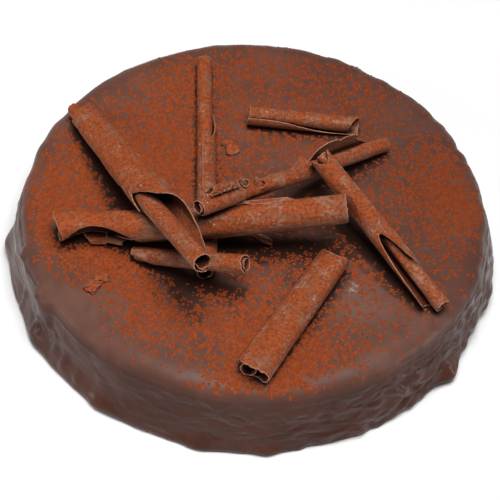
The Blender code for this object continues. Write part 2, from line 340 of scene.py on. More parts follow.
@dataclass(frozen=True)
class GlazeFinish(Finish):
    """Poured dark chocolate glaze: satin, faintly mottled, creased on its wall, with small pits."""

    deep: tuple = (0.110, 0.0475, 0.0340, 1.0)
    pale: tuple = (0.140, 0.0630, 0.0460, 1.0)
    shaded_wall_deep: tuple = (0.0640, 0.0235, 0.0158, 1.0)
    shaded_wall_pale: tuple = (0.0840, 0.0318, 0.0215, 1.0)
    dust: tuple = (0.215, 0.052, 0.019, 1.0)
    wear_and_sheen: tuple = (0.230, 0.150, 0.130, 1.0)
    glint: tuple = (0.400, 0.310, 0.290, 1.0)
    painted_shade: tuple = (0.030, 0.0125, 0.0095, 1.0)
    pit: tuple = (0.030, 0.010, 0.007, 1.0)
    roughness: float = 0.41
    shine: float = 0.15
    wall_from: float = CAKE_HEIGHT - 1.5
    wall_full: float = CAKE_HEIGHT - 9.0
    gloss_place: tuple = (42.0, -40.2, CAKE_HEIGHT)
    gloss_reach: float = 4.6
    sheen_place: tuple = (48.0, -46.0, CAKE_HEIGHT)
    sheen_reach: float = 21.0
    sheen_share: float = 0.22
    pit_place: tuple = (48.0, -52.0, CAKE_HEIGHT)
    pit_reach: float = 34.0
    far_shade: float = 0.28

    def material(self) -> bpy.types.Material:
        """Make the glaze's material."""
        made, sketch, place = self.start("glaze_looks")
        wall = sketch.spread(sketch.part(place, "Z"), self.wall_from * MM, self.wall_full * MM)
        gloss = sketch.near(place, self.gloss_place, self.gloss_reach)
        wrinkle = sketch.cloud(place, 420.0, 4.0, 0.6)
        soft = sketch.cloud(place, 55.0, 3.0)
        pits = sketch.spots(place, 420.0, 0.20, 0.22)
        pitted = sketch.times(pits, sketch.near(place, self.pit_place, self.pit_reach))
        hazed = self.haze(sketch, place)
        colour = self.top_and_wall(sketch, place, wall)
        colour = sketch.mix(hazed, colour, self.dust)
        # Painted sheen: a pale patch near the sheen place stands in for a reflection on the glaze.
        sheen = sketch.times(sketch.near(place, self.sheen_place, self.sheen_reach), self.sheen_share)
        colour = sketch.mix(sheen, colour, self.wear_and_sheen)
        # Painted shade: the glaze darkens where the curls close it in.
        closed = sketch.spread(sketch.stored("hollow"), 0.03, 0.60, 0.0, 0.88)
        colour = sketch.mix(closed, colour, self.painted_shade)
        glint = sketch.times(gloss, sketch.spread(wrinkle, 0.48, 0.62, 0.05, 0.60))
        colour = sketch.mix(glint, colour, self.glint)
        # Painted shade darkens the pits in the glaze.
        colour = sketch.mix(pitted, colour, self.pit)
        rough = sketch.spread(soft, 0.3, 0.7, self.roughness - 0.06, self.roughness + 0.07)
        rough = sketch.plus(rough, sketch.times(hazed, 0.4))
        rough = sketch.minus(rough, sketch.times(gloss, 0.22))
        rough = sketch.minus(rough, sketch.times(wall, 0.10))
        relief = sketch.minus(sketch.times(soft, 0.35), sketch.times(pitted, 0.30))
        relief = sketch.plus(relief, sketch.times(wrinkle, sketch.plus(0.035, sketch.times(gloss, 2.2))))
        relief = sketch.plus(relief, self.creases(sketch, place, wall))
        return self.join(made, {"Base Color": colour, "Roughness": rough}, (relief, 0.55, 0.9), self.shine)

    def top_and_wall(self, sketch: NodeSketch, place: bpy.types.NodeSocket,
                     wall: bpy.types.NodeSocket) -> bpy.types.NodeSocket:
        """Give the clean glaze's colour: mottled, with painted shade towards the back right and on the
        wall.
        """
        blotch, _ = sketch.blotches(place, 38.0, 0.5, 0.12)
        colour = sketch.mix(blotch, self.deep, self.pale)
        # Painted shade: the glaze darkens towards the back right rim, and the wall takes darker colours.
        colour = sketch.mix(sketch.far_share(place, self.far_shade), colour, self.painted_shade)
        return sketch.mix(wall, colour, sketch.mix(blotch, self.shaded_wall_deep, self.shaded_wall_pale))

    def haze(self, sketch: NodeSketch, place: bpy.types.NodeSocket) -> bpy.types.NodeSocket:
        """Give how much of the glaze the finest cocoa veils."""
        powder = sketch.stored("powder")
        veil, _ = sketch.blotches(place, 620.0, sketch.times(powder, 0.55), 0.06)
        return sketch.times(sketch.times(veil, sketch.spread(powder, 0.05, 0.8)), 0.55)

    def creases(self, sketch: NodeSketch, place: bpy.types.NodeSocket,
                wall: bpy.types.NodeSocket) -> bpy.types.NodeSocket:
        """Give the wall's soft creases, weaker towards the left, as a height."""
        flat = sketch.add("Mapping", {"Vector": place, "Scale": (1.0, 1.0, 1.7)}).outputs["Vector"]
        off_middle = sketch.minus(sketch.cloud(flat, 82.0, 1.2, 0.35, 0.9), 0.5)
        valley = sketch.math("SQRT", sketch.plus(sketch.times(off_middle, off_middle), 0.002))
        strength = sketch.times(wall, sketch.spread(sketch.part(place, "X"), -0.075, 0.060, 0.22, 1.0))
        return sketch.times(sketch.times(valley, -6.0), strength)


@dataclass(frozen=True)
class CurlFinish(Finish):
    """Rolled chocolate: bare brown sheet, cocoa where the sheet faces up, pale broken edges, painted shade
    where it is closed in.
    """

    name: str = "curl_looks"
    bare: tuple = (0.215, 0.084, 0.046, 1.0)
    streak: tuple = (0.350, 0.160, 0.098, 1.0)
    cocoa: tuple = (0.305, 0.060, 0.0130, 1.0)
    painted_inner_shade: tuple = (0.058, 0.0130, 0.0065, 1.0)
    broken: tuple = (0.450, 0.225, 0.140, 1.0)
    speck: tuple = (0.560, 0.380, 0.280, 1.0)
    cover: float = 0.64
    left_extra: float = 0.10
    shine: float = 0.16

    def material(self) -> bpy.types.Material:
        """Make the curls' material."""
        made, sketch, place = self.start(self.name)
        sheet = sketch.add("Attribute", attribute_name="sheet").outputs["Vector"]
        dust = sketch.stored("dust")
        grain = sketch.add("Mapping", {"Vector": sheet, "Scale": (1.0, 0.30, 1.0)}).outputs["Vector"]
        streaks, streak_height = sketch.blotches(grain, 330.0, 0.46, 0.09)
        colour = sketch.mix(sketch.times(streaks, 0.7), self.bare, self.streak)
        patches, _ = sketch.blotches(place, 680.0, self.wanted(sketch, place, dust), 0.045)
        dusted = sketch.times(sketch.times(patches, sketch.spread(dust, 0.02, 0.30)), 0.92)
        tone = sketch.cloud(place, 760.0, 2.0)
        shaded, sunlit = self.darker(self.cocoa, 0.64), self.darker(self.cocoa, 1.06)
        colour = sketch.mix(dusted, colour, sketch.mix(sketch.spread(tone, 0.38, 0.60), shaded, sunlit))
        specks = sketch.spots(place, 620.0, 0.085, 0.34)
        lit = sketch.times(specks, sketch.spread(streak_height, 0.46, 0.56))
        colour = sketch.mix(sketch.times(lit, 0.8), colour, self.speck)
        # Painted shade: the sheet darkens inside its roll and where other curls close it in.
        closed = sketch.spread(sketch.stored("hollow"), 0.16, 0.74, 0.0, 0.92)
        colour = sketch.mix(closed, colour, self.painted_inner_shade)
        wear_and_sheen = sketch.times(sketch.stored("edge"), sketch.spread(tone, 0.25, 0.6, 0.45, 0.95))
        colour = sketch.mix(wear_and_sheen, colour, self.broken)
        rough = sketch.plus(0.50, sketch.times(dusted, 0.40))
        relief = sketch.plus(sketch.times(tone, 1.1), sketch.times(patches, 0.7))
        relief = sketch.plus(relief, sketch.times(streak_height, 0.6))
        return self.join(made, {"Base Color": colour, "Roughness": rough}, (relief, 0.6, 0.30), self.shine)

    def wanted(self, sketch: NodeSketch, place: bpy.types.NodeSocket,
               dust: bpy.types.NodeSocket) -> bpy.types.NodeSocket:
        """Give the share of the sheet that cocoa covers, a little more to the left."""
        drift = sketch.times(sketch.minus(sketch.cloud(place, 120.0, 3.0, 0.6), 0.5), 2.0)
        denser = sketch.spread(sketch.part(place, "X"), -0.012, -0.055, 0.0, self.left_extra)
        return sketch.plus(sketch.times(dust, sketch.plus(self.cover, denser)), drift)


@dataclass(frozen=True)
class CocoaFinish(Finish):
    """Sifted cocoa: dry orange brown, each clump a little lighter or darker."""

    dark: tuple = (0.190, 0.0370, 0.0095, 1.0)
    light: tuple = (0.315, 0.0640, 0.0160, 1.0)
    far_shade_cocoa: tuple = (0.100, 0.0160, 0.0050, 1.0)
    far_shade: float = 0.30
    shine: float = 0.12

    def material(self) -> bpy.types.Material:
        """Make the cocoa's material."""
        made, sketch, place = self.start("cocoa_looks")
        fine = sketch.cloud(place, 1500.0, 3.0, 0.7)
        share = sketch.plus(sketch.times(sketch.stored("tone"), 0.7), sketch.times(fine, 0.35))
        colour = sketch.mix(share, self.dark, self.light)
        # Painted shade: the cocoa darkens towards the back right rim.
        colour = sketch.mix(sketch.far_share(place, self.far_shade), colour, self.far_shade_cocoa)
        rough = sketch.spread(fine, 0.3, 0.7, 0.78, 0.95)
        return self.join(made, {"Base Color": colour, "Roughness": rough}, (fine, 0.7, 0.15), self.shine)


@dataclass(frozen=True)
class FloorFinish(Finish):
    """A plain pale floor with a faint grain."""

    colour: tuple = (0.86, 0.86, 0.86, 1.0)
    roughness: float = 0.8

    def material(self) -> bpy.types.Material:
        """Make the floor's material."""
        made, sketch, place = self.start("pale_floor")
        shader = made.node_tree.nodes["Principled BSDF"]
        shader.inputs["Roughness"].default_value = self.roughness
        share = sketch.spread(sketch.cloud(place, 3.0, 2.0), 0.2, 0.8)
        colour = sketch.mix(share, self.colour, self.darker(self.colour, 0.985))
        made.node_tree.links.new(colour, shader.inputs["Base Color"])
        return made


def add_object(name: str, mesh: bpy.types.Mesh) -> bpy.types.Object:
    """Put a finished mesh in the scene as a smooth piece of the object.

    Args:
        name: the piece's name.
        mesh: its mesh, in place.

    Returns:
        The new object.
    """
    mesh.name = name
    mesh.shade_smooth()
    piece = bpy.data.objects.new(name, mesh)
    bpy.context.scene.collection.objects.link(piece)
    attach(piece, ROOT)
    return piece


def write_mesh(name: str, shape: bmesh.types.BMesh) -> bpy.types.Mesh:
    """Write a bmesh into a new mesh and free it."""
    mesh = bpy.data.meshes.new(name)
    shape.to_mesh(mesh)
    shape.free()
    return mesh


def store(mesh: bpy.types.Mesh, **columns: object) -> None:
    """Store columns of numbers on a mesh's corners, each under its own name."""
    for name, values in columns.items():
        mesh.attributes.new(name, "FLOAT", "POINT").data.foreach_set("value", values)


def report(piece: bpy.types.Object) -> None:
    """Log a piece's name and its number of faces."""
    LOG.info("%s: %d faces", piece.name, len(piece.data.polygons))


@dataclass
class Sifter:
    """Says how open a place is to cocoa falling from above, and how closed in it is by the curls."""

    curls: BVHTree
    spread: float = 0.16
    lean: tuple = (0.12, -0.22)
    reach: float = 90.0

    def open_share(self, point: Vector, clear: float = 0.25) -> float:
        """Give the share of the falling cocoa that gets to a point.

        Args:
            point: the place in metres.
            clear: how far over the point, in millimetres, the search begins.

        Returns:
            A share from 0 to 1.
        """
        start = point + Vector((0.0, 0.0, clear * MM))
        ways = ((0.0, 0.0), (1.0, 0.0), (-1.0, 0.0), (0.0, 1.0), (0.0, -1.0))
        hits = 0
        for side, ahead in ways:
            way = Vector((side * self.spread + self.lean[0], ahead * self.spread + self.lean[1], 1.0))
            if self.curls.ray_cast(start, way.normalized(), self.reach * MM)[0] is not None:
                hits += 1
        return 1.0 - hits / len(ways)

    def hidden_share(self, point: Vector, facing: Vector, reach: float) -> float:
        """Give how far a place is closed in by the curls around it.

        Args:
            point: the place in metres.
            facing: the direction that its surface faces.
            reach: how far off, in millimetres, the curls still count.

        Returns:
            A share from 0, open all round, to 1.
        """
        first = facing.orthogonal().normalized()
        second = facing.cross(first)
        start = point + facing * 0.3 * MM
        hits = 0.0
        total = 0.0
        for ring, count, weight in ((0.0, 1, 2.0), (0.55, 4, 1.0), (1.5, 5, 0.5)):
            for step in range(count):
                turn = math.tau * (step + ring) / count
                way = facing + (first * math.cos(turn) + second * math.sin(turn)) * ring
                total += weight
                if self.curls.ray_cast(start, way.normalized(), reach * MM)[0] is not None:
                    hits += weight
        return hits / total


@dataclass
class Curl:
    """One roll of chocolate sheet. Ends are (x, y, height over the glaze) of the roll's axis."""

    name: str
    start: tuple
    end: tuple
    lip_angle: float
    winding: Winding
    bends: tuple
    bow: tuple = (0.0, 0.0)
    flap_bends: int = 0
    start_scale: float = 1.0
    end_scale: float = 1.0
    full_by: float = 1.0
    start_tears: tuple = ()
    end_tears: tuple = ()
    lip_tears: tuple = ()
    core_tears: tuple = ()
    ragged: float = 0.35
    crumbly: float = 0.0
    sheet: float = 0.66
    cell: float = 0.75
    seed: float = 0.0
    lip_reach: float = 0.5
    least_dust: float = 0.22
    shade_reach: float = 16.0
    piece: bpy.types.Object | None = None

    def axis(self) -> tuple:
        """Give the axis's start, end, direction, side and up, in millimetres."""
        height = Vector((0.0, 0.0, CAKE_HEIGHT))
        start = Vector(self.start) + height + TO_MIDDLE
        end = Vector(self.end) + height + TO_MIDDLE
        ahead = (end - start).normalized()
        up = (Vector((0.0, 0.0, 1.0)) - ahead * ahead.z).normalized()
        return start, end, ahead, ahead.cross(up), up

    def section(self) -> list:
        """Follow the sheet's middle line from its outer lip inwards, as (side, up) points in mm."""
        samples = 720
        hand = self.winding.value
        lengths = [math.radians(bend.turn) * (bend.start_radius + bend.end_radius) / 2.0
                   for bend in self.bends]
        angle = math.radians(self.lip_angle)
        place = Vector((math.cos(angle), math.sin(angle))) * self.bends[0].start_radius
        heading = angle + hand * math.pi / 2.0
        points = [place.copy()]
        roll_starts = 0
        for number, bend in enumerate(self.bends):
            if number == self.flap_bends:
                roll_starts = len(points) - 1
            steps = max(round(samples * lengths[number] / sum(lengths)), 2)
            turn = math.radians(bend.turn) / steps
            for step in range(steps):
                radius = bend.start_radius + (bend.end_radius - bend.start_radius) * (step + 0.5) / steps
                middle = heading + hand * turn / 2.0
                stride = 2.0 * radius * math.sin(turn / 2.0)
                place = place + Vector((math.cos(middle), math.sin(middle))) * stride
                heading += hand * turn
                points.append(place.copy())
        roll = points[roll_starts:]
        middle = Vector((min(p.x for p in roll) + max(p.x for p in roll),
                         min(p.y for p in roll) + max(p.y for p in roll))) / 2.0
        return [point - middle for point in points]

    @staticmethod
    def tear_depth(tears: tuple, place: float) -> float:
        """Add up the bites that an edge has at a place along it."""
        return sum(tear.depth * bump(place - tear.middle, tear.half_width) ** (1.0 / tear.square)
                   for tear in tears)

    def crumble(self, place: float, row: float) -> float:
        """Give how far a broken edge wanders at a place along it, in millimetres."""
        spot = Vector((place * 0.9, row * 3.1, self.seed))
        small = Vector((place * 2.6, row * 5.3, self.seed + 4.0))
        return self.ragged * (noise.noise(spot) + 0.55 * noise.noise(small))

    def mid_sheet(self) -> bmesh.types.BMesh:
        """Roll a fine grid into the curl's section and break its edges, with no thickness yet."""
        section = self.section()
        start, end, _, side, up = self.axis()
        length = (end - start).length
        arc = sum((b - a).length for a, b in zip(section, section[1:]))
        around = max(round(arc / (self.cell * 0.8)), 12)
        along = max(round(length / self.cell), 12)
        shape = bmesh.new()
        bmesh.ops.create_grid(shape, x_segments=around, y_segments=along, size=0.5)
        edge_layer = shape.verts.layers.float.new("edge")
        sheet_layer = shape.verts.layers.float_vector.new("sheet")
        body_layer = shape.verts.layers.deform.verify()
        for vert in shape.verts:
            across = self.crowd(vert.co.x + 0.5)
            down = self.crowd(vert.co.y + 0.5)
            fade = max(1.0 - across / self.lip_reach, 0.0)
            lip = self.tear_depth(self.lip_tears, down) + self.crumble(down * length, 1.0) / arc
            place = min(max(across + lip * fade, 0.0), 1.0)
            place *= 1.0 - self.tear_depth(self.core_tears, down) * across
            first = self.tear_depth(self.start_tears, place) + self.crumble(place * arc, 2.0) / length
            last = 1.0 - self.tear_depth(self.end_tears, place) - self.crumble(place * arc, 3.0) / length
            run = first + (last - first) * down
            spot = place * (len(section) - 1)
            low = min(int(spot), len(section) - 2)
            point = section[low].lerp(section[low + 1], spot - low)
            scale = self.start_scale + (self.end_scale - self.start_scale) * min(run / self.full_by, 1.0)
            arch = math.sin(math.pi * min(max(run, 0.0), 1.0))
            wave = self.waver(place * arc, run * length)
            outward = point.normalized() * wave if point.length > 0.01 else Vector((0.0, 0.0))
            inset = min(across * arc, down * length, (1.0 - across) * arc, (1.0 - down) * length)
            vert[edge_layer] = smooth_step(1.0 - inset / 0.5)
            vert[body_layer][0] = 0.5 + 0.5 * smooth_step(inset / 1.6)
            vert[sheet_layer] = Vector((place * arc, run * length, self.seed)) * MM
            across_axis = side * (point.x * scale + outward.x + self.bow[0] * arch)
            above_axis = up * (point.y * scale + outward.y + self.bow[1] * arch)
            vert.co = (start.lerp(end, run) + across_axis + above_axis) * MM
        bmesh.ops.recalc_face_normals(shape, faces=shape.faces)
        return shape

    def waver(self, arc_place: float, run_place: float) -> float:
        """Give the sheet's slight unevenness at a place on it, in millimetres."""
        broad = noise.noise(Vector((arc_place * 0.10, run_place * 0.045, self.seed + 9.0)))
        fine = noise.noise(Vector((arc_place * 0.55, run_place * 0.16, self.seed + 2.0)))
        total = 0.16 * broad + 0.06 * fine
        if self.crumbly:
            total += self.crumbly * noise.noise(Vector((arc_place * 1.1, run_place * 0.9, self.seed + 5.0)))
        return total

    @staticmethod
    def crowd(share: float) -> float:
        """Move a grid place towards the nearest edge, so that the cells are finest there."""
        return share - 0.6 * math.sin(math.tau * share) / math.tau

    def build(self) -> bpy.types.Object:
        """Model the curl with its sheet's thickness, as a piece of its own."""
        mesh = write_mesh(self.name + "_mid", self.mid_sheet())
        blank = bpy.data.objects.new(self.name + "_mid", mesh)
        bpy.context.scene.collection.objects.link(blank)
        body = blank.vertex_groups.new(name="body")
        wall = blank.modifiers.new("sheet", "SOLIDIFY")
        wall.thickness = self.sheet * MM
        wall.offset = 0.0
        wall.vertex_group = body.name
        graph = bpy.context.evaluated_depsgraph_get()
        thick = bpy.data.meshes.new_from_object(blank.evaluated_get(graph))
        bpy.data.objects.remove(blank)
        self.piece = add_object(self.name + "_looks", thick)
        return self.piece

    def dust(self, sifter: Sifter) -> None:
        """Store how much cocoa each point of the curl catches, and how closed in it is for the painted
        shade.
        """
        mesh = self.piece.data
        caught = []
        hidden = []
        for vert in mesh.vertices:
            facing = smooth_step((vert.normal.z + 0.16) / 0.55)
            open_share = sifter.open_share(vert.co + vert.normal * 0.05 * MM) if facing > 0.0 else 0.0
            caught.append(facing * (self.least_dust + (1.0 - self.least_dust) * open_share))
            hidden.append(sifter.hidden_share(vert.co, vert.normal, self.shade_reach))
        store(mesh, dust=caught, hollow=hidden)


class CurlSet:
    """Curls that are modelled and dressed together."""

    curls: list
    has_solids: bool = False

    def build(self) -> None:
        """Model every curl, in the place of its solid if it has one."""
        for curl in self.curls:
            piece = curl.build()
            if self.has_solids:
                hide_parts(curl.name)
            report(piece)

    def dress(self, sifter: Sifter, finish: bpy.types.Material) -> None:
        """Dust the curls and give them their finish."""
        for curl in self.curls:
            curl.dust(sifter)
            curl.piece.data.materials.clear()
            curl.piece.data.materials.append(finish)


class CurlPile(CurlSet):
    """The eight curls as they lie on the cake."""

    has_solids = True

    def __init__(self) -> None:
        """List the curls."""
        self.curls = [
            Curl("wide_curl", (-79.9, 43.2, 5.1), (-16.6, -62.3, 39.2), -22.0, Winding.WITH_UP,
                 (Bend(62, 6.6, 6.0), Bend(44, 10.5, 10.5), Bend(150, 5.9, 5.6),
                  Bend(46, 11.0, 9.0), Bend(372, 4.15, 3.0), Bend(70, 2.4, 1.9)),
                 bow=(0.7, 0.0), start_scale=0.70, end_scale=1.02, full_by=0.6,
                 start_tears=(Tear(0.15, 0.46, 0.075),),
                 end_tears=(Tear(0.04, 0.52, 0.42), Tear(0.0, 0.08, -0.05), Tear(0.38, 0.20, 0.12)),
                 lip_tears=(Tear(0.10, 0.07, 0.03), Tear(0.24, 0.07, -0.03), Tear(0.44, 0.08, 0.03),
                            Tear(0.60, 0.08, -0.03), Tear(0.78, 0.09, 0.03)), ragged=0.8, seed=11.0),
            Curl("back_curl", (-26.5, 77.0, 4.75), (-17.1, -42.9, 5.05), 72.0, Winding.WITH_UP,
                 (Bend(210, 4.3, 3.8), Bend(330, 3.4, 2.5)), end_scale=1.06,
                 start_tears=(Tear(0.0, 0.47, 0.43, 2.8),), end_tears=(Tear(0.30, 0.2, 0.02),),
                 lip_tears=(Tear(0.62, 0.2, 0.02),), seed=23.0),
            Curl("short_curl", (-5.9, 45.6, 4.5), (41.8, 44.0, 4.5), 22.0, Winding.AGAINST_UP,
                 (Bend(60, 5.2, 4.9), Bend(200, 4.3, 3.8), Bend(300, 3.5, 2.6)),
                 start_scale=0.92, end_scale=0.94, start_tears=(Tear(0.75, 0.3, 0.02),),
                 end_tears=(Tear(0.80, 0.36, 0.10),), lip_tears=(Tear(1.0, 0.80, 0.20),), seed=37.0),
            Curl("thin_curl", (-22.6, -32.1, 31.9), (53.1, 36.1, 3.7), 164.0, Winding.WITH_UP,
                 (Bend(18, 34.0, 34.0), Bend(330, 3.6, 3.0), Bend(300, 2.75, 2.0)), flap_bends=1,
                 end_scale=0.96, start_tears=(Tear(0.35, 0.3, 0.015),),
                 end_tears=(Tear(0.08, 0.22, 0.06), Tear(0.8, 0.2, 0.02)),
                 lip_tears=(Tear(0.0, 0.10, 0.10), Tear(0.24, 0.34, 0.31, 2.2), Tear(0.55, 0.14, 0.27, 2.0),
                            Tear(0.775, 0.03, 0.03), Tear(1.0, 0.15, 0.32, 1.3)), ragged=0.5, seed=41.0),
            Curl("long_curl", (-80.5, -27.2, 6.9), (36.8, -21.0, 26.4), -66.0, Winding.WITH_UP,
                 (Bend(360, 6.5, 5.4), Bend(300, 5.1, 3.9)), bow=(2.4, -0.6),
                 start_scale=1.08, end_scale=0.93,
                 start_tears=(Tear(0.12, 0.2, 0.03), Tear(0.9, 0.35, 0.10)),
                 end_tears=(Tear(0.16, 0.18, -0.006), Tear(0.75, 0.3, 0.03)),
                 lip_tears=(Tear(0.125, 0.170, 0.205, 2.6),),
                 core_tears=(Tear(0.125, 0.28, 0.46, 2.2),), seed=53.0),
            Curl("slotted_curl", (24.9, 8.1, 23.6), (77.3, -51.1, 5.0), 142.0, Winding.AGAINST_UP,
                 (Bend(150, 5.1, 5.5), Bend(140, 5.6, 5.0), Bend(350, 3.45, 2.5)),
                 start_scale=0.80, end_scale=1.02, start_tears=(Tear(0.16, 0.16, 0.07),),
                 end_tears=(Tear(0.0, 0.10, 0.38), Tear(0.185, 0.14, 0.47, 2.8), Tear(0.42, 0.22, 0.06)),
                 lip_tears=(Tear(0.4, 0.2, 0.02),), seed=67.0),
            Curl("front_curl", (34.3, -29.1, 5.25), (3.9, -90.8, 6.05), -8.0, Winding.WITH_UP,
                 (Bend(66, 5.2, 4.8), Bend(26, 15.0, 15.0), Bend(164, 4.25, 4.15),
                  Bend(22, 15.0, 15.0), Bend(340, 3.1, 2.35)),
                 start_scale=0.98, end_scale=1.14, start_tears=(Tear(0.25, 0.2, 0.04),),
                 end_tears=(Tear(0.03, 0.12, 0.05), Tear(0.27, 0.20, -0.022), Tear(0.60, 0.12, 0.03),
                            Tear(0.88, 0.20, 0.035)),
                 lip_tears=(Tear(0.5, 0.3, 0.01),), ragged=0.6, seed=71.0),
            Curl("small_curl", (-47.4, -34.5, 2.7), (-1.6, -49.4, 20.6), -48.0, Winding.WITH_UP,
                 (Bend(250, 3.6, 3.15), Bend(300, 2.9, 2.1)), start_scale=0.92, end_scale=1.06,
                 start_tears=(Tear(0.62, 0.3, 0.05),), end_tears=(Tear(0.3, 0.2, 0.02),),
                 lip_tears=(Tear(0.0, 0.28, 0.20),), seed=83.0),
        ]

    def sifter(self) -> Sifter:
        """Give a sifter that all the curls shelter from."""
        corners = []
        faces = []
        for curl in self.curls:
            mesh = curl.piece.data
            first = len(corners)
            corners.extend(vert.co.copy() for vert in mesh.vertices)
            faces.extend([first + corner for corner in face.vertices] for face in mesh.polygons)
        return Sifter(BVHTree.FromPolygons(corners, faces))


class Shavings(CurlSet):
    """Small broken shavings caught on the curls, thinner than the solids can show."""

    def __init__(self) -> None:
        """List the shavings."""
        self.curls = [
            Curl("strip_shaving", (-19.4, -27.4, 35.0), (-5.2, -15.6, 30.6), 30.0, Winding.WITH_UP,
                 (Bend(190, 2.6, 2.1), Bend(200, 1.5, 1.0)), bow=(0.0, 0.4), end_scale=0.8,
                 start_tears=(Tear(0.3, 0.4, 0.16),),
                 end_tears=(Tear(0.1, 0.4, 0.22), Tear(0.9, 0.4, 0.15)),
                 ragged=0.9, crumbly=1.3, sheet=0.60, cell=0.30, seed=91.0),
            Curl("first_loop_shaving", (-5.4, -14.6, 29.9), (-4.4, -16.3, 31.4), 60.0, Winding.WITH_UP,
                 (Bend(310, 1.7, 1.4),), ragged=0.3, sheet=0.48, cell=0.30, seed=93.0),
            Curl("second_loop_shaving", (0.4, -11.2, 26.9), (1.8, -13.6, 28.4), 80.0, Winding.AGAINST_UP,
                 (Bend(290, 2.4, 1.9),), ragged=0.4, sheet=0.50, cell=0.34,
                 end_tears=(Tear(0.4, 0.4, 0.3),), seed=95.0),
            Curl("flap_shaving", (11.6, 1.0, 21.4), (19.6, 7.4, 20.2), 30.0, Winding.WITH_UP,
                 (Bend(80, 5.0, 4.6),), start_tears=(Tear(1.0, 0.9, 0.8),), ragged=0.4,
                 sheet=0.45, cell=0.45, seed=97.0),
            Curl("seam_shaving", (-5.8, -21.9, 24.9), (15.6, -19.2, 27.6), 78.0, Winding.WITH_UP,
                 (Bend(22, 6.0, 6.0),), start_tears=(Tear(0.0, 0.8, 0.20),),
                 end_tears=(Tear(1.0, 0.8, 0.12),),
                 ragged=0.6, sheet=0.50, cell=0.50, seed=101.0),
            Curl("low_scoop_shaving", (-68.6, -28.6, 3.4), (-59.4, -28.0, 3.6), 10.0, Winding.WITH_UP,
                 (Bend(150, 2.6, 2.2),), start_tears=(Tear(0.0, 0.8, 0.3),), ragged=0.5,
                 sheet=0.5, cell=0.45, seed=107.0),
            Curl("high_scoop_shaving", (-59.6, -27.4, 4.2), (-49.8, -29.0, 3.9), 30.0, Winding.WITH_UP,
                 (Bend(110, 3.2, 2.8),), end_tears=(Tear(0.2, 0.8, 0.25),), ragged=0.6,
                 sheet=0.5, cell=0.45, seed=109.0),
            Curl("sliver_shaving", (0.4, -24.6, 8.6), (7.8, -22.6, 2.4), 20.0, Winding.WITH_UP,
                 (Bend(170, 1.3, 1.0),), start_tears=(Tear(0.0, 0.9, 0.40),), ragged=0.6,
                 sheet=0.45, cell=0.40, seed=103.0),
        ]

